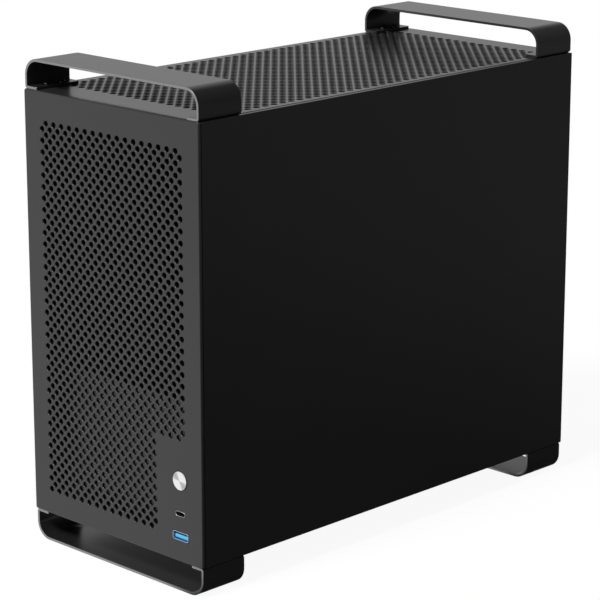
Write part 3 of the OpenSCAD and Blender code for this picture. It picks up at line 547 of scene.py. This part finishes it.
def extent(points):
    """The lowest and highest corner of some points."""
    return (Vector([min(p[i] for p in points) for i in range(3)]),
            Vector([max(p[i] for p in points) for i in range(3)]))


print("openings in the top panel:", len(openings_through("top_panel", 2)) - 1)

# %% Cut the openings into a plate
FRAME_BORE = 2 * MM
TOP_BORE = 2.45 * MM
BORE_SLACK = 0.05 * MM
PLATE_SIZE = 100 * MM
PAST = 0.5 * MM


def flared_cutter(depth, bore, roll, steps, arc_steps):
    """A punched hole's cutter on Z, its flared mouth at height zero."""
    arc = [(bore + roll * (1 - math.sin(t)), -roll * (1 - math.cos(t)))
           for t in (math.radians(90 * k / arc_steps) for k in range(arc_steps + 1))]
    mouth = [(0, PAST), (bore + roll + PAST, PAST)]
    shape = turned(mouth + arc + [(bore, -depth - PAST), (0, -depth - PAST)], steps=steps)
    bmesh.ops.recalc_face_normals(shape, faces=shape.faces)
    mesh = bpy.data.meshes.new("cutter")
    shape.to_mesh(mesh)
    shape.free()
    return mesh


def straight_cutter(points, axis):
    """A cutter with the outline of an opening, longer than the plate is thick."""
    shape = bmesh.new()
    low, high = extent(points)
    for point in points:
        end = Vector(point)
        end[axis] = low[axis] - PAST if end[axis] < (low[axis] + high[axis]) / 2 else high[axis] + PAST
        shape.verts.new(end)
    bmesh.ops.remove_doubles(shape, verts=shape.verts, dist=WELD)
    bmesh.ops.convex_hull(shape, input=shape.verts)
    bmesh.ops.recalc_face_normals(shape, faces=shape.faces)
    return shape


def taken_out(body_shape, tool_shape):
    """One bmesh with another taken out of it, by a single Boolean."""
    whole, tool = (bpy.data.objects.new(name, bpy.data.meshes.new(name))
                   for name in ("whole", "tool"))
    for thing, shape in ((whole, body_shape), (tool, tool_shape)):
        shape.to_mesh(thing.data)
        shape.free()
        scene.collection.objects.link(thing)
    boolean = whole.modifiers.new("cut", "BOOLEAN")
    boolean.operation = "DIFFERENCE"
    boolean.solver = "MANIFOLD"
    boolean.object = tool
    cut = bmesh.new()
    cut.from_object(whole, bpy.context.evaluated_depsgraph_get())
    for thing in (whole, tool):
        bpy.data.meshes.remove(thing.data)
    return cut


def cut_plate(plate, node, axis, outwards, **rim):
    """Cuts a frame plate's openings out of a block, with rolled rims on the small round ones."""
    node_low, node_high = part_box(node)
    face_at = node_high[axis] if outwards > 0 else node_low[axis]
    turn = Matrix() if axis == 2 else Matrix.Rotation(math.radians(90), 4, "X")
    pattern = flared_cutter(node_high[axis] - node_low[axis], **rim)
    cutters = bmesh.new()
    bores = 0
    for points in openings_through(node, axis):
        low, high = extent(points)
        size = sorted(high - low)[1:]
        middle = (low + high) / 2
        middle[axis] = face_at
        if size[1] > PLATE_SIZE:
            continue
        if max(abs(s - 2 * FRAME_BORE) for s in size) < BORE_SLACK:
            add_copy(cutters, pattern, Matrix.Translation(middle) @ turn)
            bores += 1
        else:
            merge(cutters, straight_cutter(points, axis))
    bpy.data.meshes.remove(pattern)
    cut = taken_out(plate, cutters)
    print(node, "has", bores, "punched holes and", len(cut.faces), "faces")
    return cut


EDGE_MARGIN = Vector((3, 3, 3)) * MM


def finish_plate(name, shape, node, axis):
    """Coats a cut plate, with the near-black matt coat of painted shade on the bores, and puts it in
    place.
    """
    inside_low, inside_high = (v + s * EDGE_MARGIN for v, s in zip(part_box(node), (1, -1)))
    spans = [i for i in range(3) if i != axis]
    piece = finish_piece(name, shape, "chassis", [charcoal_coat, bore_shade_coat], replaces=(node,),
                         sharp_deg=70)
    mesh = piece.data
    for polygon in mesh.polygons:
        within = all(inside_low[i] < polygon.center[i] < inside_high[i] for i in spans)
        polygon.material_index = int(within and abs(polygon.normal[axis]) < 0.2)
    flat = [abs(polygon.normal[axis]) > 0.999 for polygon in mesh.polygons]
    by_edge = {}
    for polygon in mesh.polygons:
        for key in polygon.edge_keys:
            by_edge.setdefault(key, []).append(flat[polygon.index])
    for edge in mesh.edges:
        if any(by_edge[edge.key]) and not all(by_edge[edge.key]):
            edge.use_edge_sharp = True
    return piece


print("cutters ready")

# %% [markdown]
# ## The front plate, the top plate and what meets them
# The front plate's edges are rounded outside and chamfered behind, so that it looks thin beside
# the narrow gap to the side panels. The side panels come up level with the top plate, which lies
# between them. So the top plate is made narrower than the frame's, and the side and bottom panels
# are copies of the frame's with only the points near an edge moved, by a few millimetres.

# %% Plate helpers
NEAR = 0.01 * MM


def round_edges(shape, wanted, offset, segments):
    """Bevels the edges whose two ends both pass a test."""
    edges = [e for e in shape.edges if all(wanted(v.co) for v in e.verts)]
    bmesh.ops.bevel(shape, geom=edges, offset=offset, segments=segments, affect="EDGES",
                    profile=0.5, material=-1)


def whole_plate(low, high):
    """A plain block between two corners."""
    shape = bmesh.new()
    size = Matrix.Diagonal((*(high - low), 1))
    bmesh.ops.create_cube(shape, size=1, matrix=Matrix.Translation((low + high) / 2) @ size)
    return shape


def plate_with_corners(low, high, corner):
    """A block between two corners whose four edges along Y are rounded."""
    shape = whole_plate(low, high)
    along_y = [e for e in shape.edges if abs(e.verts[0].co.y - e.verts[1].co.y) > MM]
    bmesh.ops.bevel(shape, geom=along_y, offset=corner, segments=4, affect="EDGES",
                    profile=0.5, material=-1)
    return shape


print("plate helpers ready")

# %% Make the front plate
FRONT_ROUND = 0.8 * MM
BACK_CHAMFER = 0.9 * MM
CORNER_ROUND = 1.8 * MM
front_low, front_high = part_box("front_panel")
front_plate = plate_with_corners(front_low, front_high, CORNER_ROUND)
round_edges(front_plate, lambda co: co.y < front_low.y + NEAR, FRONT_ROUND, 3)
for side in (-1, 1):
    round_edges(front_plate, lambda co: co.y > front_high.y - NEAR
                and co.x * side > front_high.x - NEAR, BACK_CHAMFER, 1)
front_plate = cut_plate(front_plate, "front_panel", 1, -1, bore=FRAME_BORE, roll=0.45 * MM,
                        steps=16, arc_steps=2)
finish_plate("punched_front_panel", front_plate, "front_panel", 1)

# %% Make the top plate
PLATE_INSET = 3.2 * MM
TOP_ROUND = 0.3 * MM
top_low, top_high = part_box("top_panel")
inset = Vector((PLATE_INSET, 0, 0))
top_plate = whole_plate(top_low + inset, top_high - inset)
round_edges(top_plate, lambda co: co.z > top_high.z - NEAR, TOP_ROUND, 2)
top_plate = cut_plate(top_plate, "top_panel", 2, 1, bore=TOP_BORE, roll=0.08 * MM,
                      steps=14, arc_steps=1)
finish_plate("punched_top_panel", top_plate, "top_panel", 2)

# %% Draw the side and bottom panels to meet the plates
PANEL_FORWARD = 0.9 * MM
PANEL_TALLER = 1.7 * MM
FRONT_END = 5 * MM
PANEL_END = 140 * MM
BOTTOM_END = 2 * MM


def drawn_copy(name, node, body, rule):
    """A copy of a frame piece whose points are moved by a rule, in its place."""
    source = frame["nodes"][node]
    shape = bmesh.new()
    shape.from_mesh(source.data)
    bmesh.ops.remove_doubles(shape, verts=shape.verts, dist=WELD)
    for vert in shape.verts:
        vert.co += rule(vert.co)
    return finish_piece(name, shape, body, list(source.data.materials), replaces=(node,),
                        sharp_deg=1)


side_low, side_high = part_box("right_side_panel")
side_middle = (side_low + side_high) / 2


def draw_side_panel(co):
    """Forward at the front, and out at the top and the bottom."""
    from_middle = co.z - side_middle.z
    forward = -PANEL_FORWARD if co.y < side_low.y + FRONT_END else 0
    taller = math.copysign(PANEL_TALLER, from_middle) if abs(from_middle) > PANEL_END else 0
    return Vector((0, forward, taller))


def draw_bottom_panel(co):
    """In from both sides."""
    at_side = abs(co.x) > top_high.x - BOTTOM_END
    return Vector((-math.copysign(PLATE_INSET, co.x) if at_side else 0, 0, 0))


for hand in ("left", "right"):
    drawn_copy("folded_%s_side_panel" % hand, hand + "_side_panel", hand + "_panel",
               draw_side_panel)
drawn_copy("inset_bottom_panel", "bottom_panel", "chassis", draw_bottom_panel)

# %% [markdown]
# ## Screws with a domed head and a hexagon socket
# The screws' button heads are a guess. One screw is turned on a lathe profile, its socket is pulled
# from round to hexagonal, and copies of it go where the frame's plain screws are, head outwards.

# %% Make the screws
HEAD_HEIGHT = 1.7 * MM
HEAD_RADIUS = 2.8 * MM
SHANK_RADIUS = 1.5 * MM
SOCKET_RADIUS = 1.0 * MM
SOCKET_DEPTH = 1.0 * MM
CROWN_RADIUS = 1.5 * MM
HEAD_EDGE = 0.45 * MM
TIP_CHAMFER = 0.4 * MM


def screw_shape(length):
    """A button-head screw on Z with its seat at zero and its head up."""
    dome = [(CROWN_RADIUS + (HEAD_RADIUS - CROWN_RADIUS) * math.sin(t),
             HEAD_EDGE + (HEAD_HEIGHT - HEAD_EDGE) * math.cos(t))
            for t in (math.radians(15 * k) for k in range(7))]
    profile = [(0, HEAD_HEIGHT - SOCKET_DEPTH),
               (SOCKET_RADIUS, HEAD_HEIGHT - SOCKET_DEPTH),
               (SOCKET_RADIUS, HEAD_HEIGHT - 0.15 * MM),
               (SOCKET_RADIUS + 0.25 * MM, HEAD_HEIGHT)]
    profile += dome + [(HEAD_RADIUS, 0), (SHANK_RADIUS, 0),
                       (SHANK_RADIUS, -length + TIP_CHAMFER),
                       (SHANK_RADIUS - TIP_CHAMFER, -length), (0, -length)]
    shape = turned(profile, steps=36)
    for vert in shape.verts:
        radius = vert.co.xy.length
        if vert.co.z > 0 and 0 < radius < SOCKET_RADIUS + NEAR:
            turn = math.atan2(vert.co.y, vert.co.x) % math.radians(60) - math.radians(30)
            vert.co.xy *= 1 / math.cos(turn)
    return shape


def set_screws(node, body, head_towards, material):
    """Stands a domed screw in the place of each plain one of a frame piece."""
    towards = Vector(head_towards)
    turn = towards.to_track_quat("Z", "Y").to_matrix().to_4x4()
    all_screws = bmesh.new()
    for low, high in loose_boxes(node):
        length = abs((high - low).dot(towards)) - HEAD_HEIGHT
        middle = (low + high) / 2
        head_end = max(low.dot(towards), high.dot(towards))
        seat = middle + towards * (head_end - HEAD_HEIGHT - middle.dot(towards))
        one = screw_shape(length)
        one.transform(Matrix.Translation(seat) @ turn)
        merge(all_screws, one)
    return finish_piece("domed_" + node, all_screws, body, [material], replaces=(node,))


set_screws("handle_screws", "chassis", (0, 0, 1), black_oxide)
set_screws("foot_screws", "chassis", (0, 0, -1), black_oxide)
set_screws("slot_screws", "chassis", (-1, 0, 0), zinc_fixing)
set_screws("front_io_screws", "chassis", (0, -1, 0), zinc_fixing)

# %% [markdown]
# ## The power button
# A bar of aluminium is turned to a cap, its face is finished with a fine spiral cut, and it is
# anodised clear. The cut makes the face reflect in fans that meet in the middle. That is
# anisotropy with a tangent that runs round the button's axis: the cross product of the axis and
# the direction from the centre. The darker fan is a painted reflection: a darker tone in the base
# colour, set by direction across the face, that stays fixed on the button.

# %% Turn the cap
button_low, button_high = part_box("power_button")
button_middle = (button_low + button_high) / 2
BUTTON_RADIUS = 6.6 * MM
RIM_RADIUS = (button_high.x - button_low.x) / 2
STEM_RADIUS = 2.5 * MM
CHAMFER = 0.5 * MM
FACE_TO_RIM = 2.65 * MM
RIM_THICK = 0.9 * MM
button_depth = button_high.y - button_low.y
print("button", round(2 * RIM_RADIUS / MM, 1), "mm over its rim,", round(button_depth / MM, 1), "deep")

cap = turned([
    (0, 0),
    (BUTTON_RADIUS * 0.5, 0),
    (BUTTON_RADIUS - CHAMFER, 0),
    (BUTTON_RADIUS - CHAMFER * 0.3, CHAMFER * 0.3),
    (BUTTON_RADIUS, CHAMFER),
    (BUTTON_RADIUS, FACE_TO_RIM),
    (RIM_RADIUS, FACE_TO_RIM),
    (RIM_RADIUS, FACE_TO_RIM + RIM_THICK),
    (STEM_RADIUS, FACE_TO_RIM + RIM_THICK),
    (STEM_RADIUS, button_depth),
    (0, button_depth),
], steps=96)
bmesh.ops.rotate(cap, verts=cap.verts, matrix=Matrix.Rotation(math.radians(-90), 3, "X"))
bmesh.ops.translate(cap, verts=cap.verts,
                    vec=(button_middle.x, button_low.y, button_middle.z))

# %% Spun aluminium, and the button
# The direction of the darker fan, a painted reflection in the base colour.
PAINTED_FAN_DIRECTION = Vector((0.8, 0, -0.6))
RING_STEP = 0.35 * MM
spun, spun_tree, spun_shader = new_material("spun_anodised_aluminium")
spun_place = add_node(spun_tree, "ShaderNodeTexCoord")
from_centre = add_node(spun_tree, "ShaderNodeVectorMath", {"operation": "SUBTRACT"})
spun_tree.links.new(spun_place.outputs["Object"], from_centre.inputs[0])
from_centre.inputs[1].default_value = (button_middle.x, 0, button_middle.z)
round_axis = add_node(spun_tree, "ShaderNodeVectorMath", {"operation": "CROSS_PRODUCT"})
spun_tree.links.new(from_centre.outputs[0], round_axis.inputs[0])
round_axis.inputs[1].default_value = (0, 1, 0)
flat_round = add_node(spun_tree, "ShaderNodeVectorMath", {"operation": "NORMALIZE"})
spun_tree.links.new(round_axis.outputs[0], flat_round.inputs[0])
spun_tree.links.new(flat_round.outputs[0], spun_shader.inputs["Tangent"])
level = add_node(spun_tree, "ShaderNodeVectorMath", {"operation": "MULTIPLY"})
spun_tree.links.new(from_centre.outputs[0], level.inputs[0])
level.inputs[1].default_value = (1, 0, 1)
reach = add_node(spun_tree, "ShaderNodeVectorMath", {"operation": "LENGTH"})
spun_tree.links.new(level.outputs[0], reach.inputs[0])
rings = add_node(spun_tree, "ShaderNodeTexNoise",
                 {"noise_dimensions": "1D", "Scale": 1 / RING_STEP, "Detail": 2.0},
                 {"W": reach.outputs["Value"]})
ring_rough = add_node(spun_tree, "ShaderNodeMapRange", {"To Min": 0.16, "To Max": 0.4},
                      {"Value": rings.outputs["Fac"]})
spun_tree.links.new(ring_rough.outputs[0], spun_shader.inputs["Roughness"])
outwards = add_node(spun_tree, "ShaderNodeVectorMath", {"operation": "NORMALIZE"})
spun_tree.links.new(level.outputs[0], outwards.inputs[0])
along_fan = add_node(spun_tree, "ShaderNodeVectorMath", {"operation": "DOT_PRODUCT"})
spun_tree.links.new(outwards.outputs[0], along_fan.inputs[0])
along_fan.inputs[1].default_value = PAINTED_FAN_DIRECTION
either_end = add_node(spun_tree, "ShaderNodeMath", {"operation": "ABSOLUTE"})
spun_tree.links.new(along_fan.outputs["Value"], either_end.inputs[0])
# Painted reflection: the base colour darkens along the fan's direction.
fan = add_node(spun_tree, "ShaderNodeMapRange", {"From Min": 0.75, "From Max": 1.0},
               {"Value": either_end.outputs[0]})
painted_fan_tone = add_node(spun_tree, "ShaderNodeMix", {"data_type": "RGBA"}, {"Factor": fan.outputs[0]})
painted_fan_tone.inputs[6].default_value = linear("#ececed")
painted_fan_tone.inputs[7].default_value = linear("#b0aeaf")
spun_tree.links.new(painted_fan_tone.outputs[2], spun_shader.inputs["Base Color"])
spun_shader.inputs["Metallic"].default_value = 1.0
spun_shader.inputs["Anisotropic"].default_value = 0.4
finish_piece("spun_button", cap, "button", [spun], replaces=("power_button",))

# %% [markdown]
# ## The two ports
# A connector shell is folded from thin nickel-plated sheet, with a rounded lip at its mouth. The
# small port is a tube with a stadium outline, pushed along its depth ring by ring: out along the
# outside, round the lip and back along the inside. Its inside is lined with black plastic. The
# large port's shell is a block with rounded corners and its mouth taken out by a Boolean. It
# holds a moulded blue block with gold contacts, as the small one holds a black tongue.

# %% Port helpers
def stadium_tube(straight, rings):
    """A tube on Z with a stadium outline. Each ring is a radius and a height."""
    shape = bmesh.new()
    half_step = Matrix.Rotation(math.pi / 32, 4, "Z")
    bmesh.ops.create_circle(shape, segments=32, radius=rings[0][0], matrix=half_step)
    for vert in shape.verts:
        vert.co.x += math.copysign(straight / 2, vert.co.x)
        vert.co.z = rings[0][1]
    edges = list(shape.edges)
    for (radius_before, _), (radius, height) in zip(rings, rings[1:]):
        grown = bmesh.ops.extrude_edge_only(shape, edges=edges)["geom"]
        edges = [g for g in grown if isinstance(g, bmesh.types.BMEdge)]
        for vert in (g for g in grown if isinstance(g, bmesh.types.BMVert)):
            centre = math.copysign(straight / 2, vert.co.x)
            vert.co.x = centre + (vert.co.x - centre) * radius / radius_before
            vert.co.y *= radius / radius_before
            vert.co.z = height
    return shape


def block(low, high, bevel, segments=2):
    """A moulded block between two corners, with rounded edges."""
    shape = whole_plate(Vector(low), Vector(high))
    bmesh.ops.bevel(shape, geom=list(shape.edges), offset=bevel, segments=segments,
                    affect="EDGES", profile=0.5, material=-1)
    return shape


TUBE_TO_FRAME = Matrix(((1, 0, 0, 0), (0, 0, 1, 0), (0, 1, 0, 0), (0, 0, 0, 1)))


def set_tube(tube, middle):
    """Closes a tube's ends and lays it along Y about a middle."""
    bmesh.ops.holes_fill(tube, edges=[e for e in tube.edges if e.is_boundary])
    tube.transform(Matrix.Translation((middle.x, 0, middle.z)) @ TUBE_TO_FRAME)


print("port helpers ready")

# %% Make the small port
small_low, small_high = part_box("usb_c_shell")
small_middle = (small_low + small_high) / 2
outer = (small_high.z - small_low.z) / 2
straight = small_high.x - small_low.x - 2 * outer
WALL = 0.35 * MM
LIP = 0.16 * MM
front, back = small_low.y, small_high.y
floor_y = back - 2 * MM
lining_outside = outer - WALL - 0.02 * MM
lining_inside = outer - WALL - 0.14 * MM
lining_front = front + 0.15 * MM
small_shell = stadium_tube(straight, [
    (outer, back), (outer, front + LIP), (outer - LIP * 0.3, front + LIP * 0.3), (outer - LIP, front),
    (outer - WALL + LIP, front), (outer - WALL + LIP * 0.3, front + LIP * 0.3),
    (outer - WALL, front + LIP), (outer - WALL, floor_y), (outer - WALL - 0.3 * MM, floor_y),
])
set_tube(small_shell, small_middle)
finish_piece("small_port_shell", small_shell, "chassis", [nickel_plate],
             replaces=("usb_c_shell",))

lining = stadium_tube(straight, [
    (lining_outside, floor_y - 0.02 * MM), (lining_outside, lining_front),
    (lining_inside, lining_front), (lining_inside, floor_y - 0.6 * MM),
])
set_tube(lining, small_middle)
finish_piece("small_port_lining", lining, "chassis", [black_plastic])

tongue_low, tongue_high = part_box("usb_c_tongue")
tongue_low.y += 1.2 * MM
finish_piece("small_port_tongue", block(tongue_low, tongue_high, 0.15 * MM), "chassis",
             [black_plastic], replaces=("usb_c_tongue",))

# %% Make the large port
gold = metal("gold_plated_contact", "#d9b35c", 0.25)
large_low, large_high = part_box("usb_a_shell")
large_middle = (large_low + large_high) / 2
shell_wall = Vector((0.4, 0, 0.4)) * MM
MOUTH_DEPTH = 10 * MM
SHELL_CORNER = 1.2 * MM
LIP_ROUND = 0.12 * MM
large_shell = plate_with_corners(large_low, large_high, SHELL_CORNER)
round_edges(large_shell, lambda co: co.y < large_low.y + NEAR, LIP_ROUND, 2)
mouth_low = large_low + shell_wall - Vector((0, PAST, 0))
mouth_high = large_high - shell_wall
mouth_high.y = large_low.y + MOUTH_DEPTH
mouth = plate_with_corners(mouth_low, mouth_high, SHELL_CORNER - shell_wall.x)
large_shell = taken_out(large_shell, mouth)
finish_piece("large_port_shell", large_shell, "chassis", [nickel_plate],
             replaces=("usb_a_shell",))

BLOCK_LEFT_GAP, BLOCK_RIGHT_GAP = 0.95 * MM, 1.3 * MM
BLOCK_SET_BACK = 1.1 * MM
BLOCK_ROUND = 0.7 * MM
block_bottom = large_middle.z - 2.0 * MM
block_top = large_middle.z + 0.6 * MM
block_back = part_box("usb_a_tongue")[1].y
blue_block = block((large_low.x + BLOCK_LEFT_GAP, large_low.y + BLOCK_SET_BACK, block_bottom),
                   (large_high.x - BLOCK_RIGHT_GAP, block_back, block_top),
                   BLOCK_ROUND, segments=4)
finish_piece("large_port_tongue", blue_block, "chassis", [blue_plastic], replaces=("usb_a_tongue",))
# The back wall is the blue plastic darkened: painted shade deep in the mouth.
INSULATOR_CLEAR = Vector((0.45, 0, 0.45)) * MM
insulator_low = large_low + INSULATOR_CLEAR
insulator_low.y += 6 * MM
insulator_high = large_high - INSULATOR_CLEAR
insulator_high.y = mouth_high.y
back_wall = block(insulator_low, insulator_high, 0.2 * MM)
finish_piece("large_port_insulator", back_wall, "chassis", [blue_plastic_in_painted_shade])

# %% Make the contacts
CONTACT_STEP = 2.5 * MM
PIN_STEP = 0.8 * MM
contacts = bmesh.new()
for index in range(4):
    x = large_middle.x + (index - 1.5) * CONTACT_STEP
    merge(contacts, block((x - 0.5 * MM, large_low.y + 2.2 * MM, block_top - 0.1 * MM),
                          (x + 0.5 * MM, large_low.y + 6 * MM, block_top + 0.08 * MM), 0.03 * MM))
finish_piece("large_port_contacts", contacts, "chassis", [gold])

pins = bmesh.new()
for side in (-1, 1):
    for index in range(6):
        x = small_middle.x + (index - 2.5) * PIN_STEP
        z = tongue_high.z if side > 0 else tongue_low.z
        merge(pins, block((x - 0.15 * MM, tongue_low.y + 0.5 * MM, z - 0.04 * MM),
                          (x + 0.15 * MM, tongue_low.y + 4 * MM, z + 0.04 * MM), 0.01 * MM))
finish_piece("small_port_contacts", pins, "chassis", [gold])
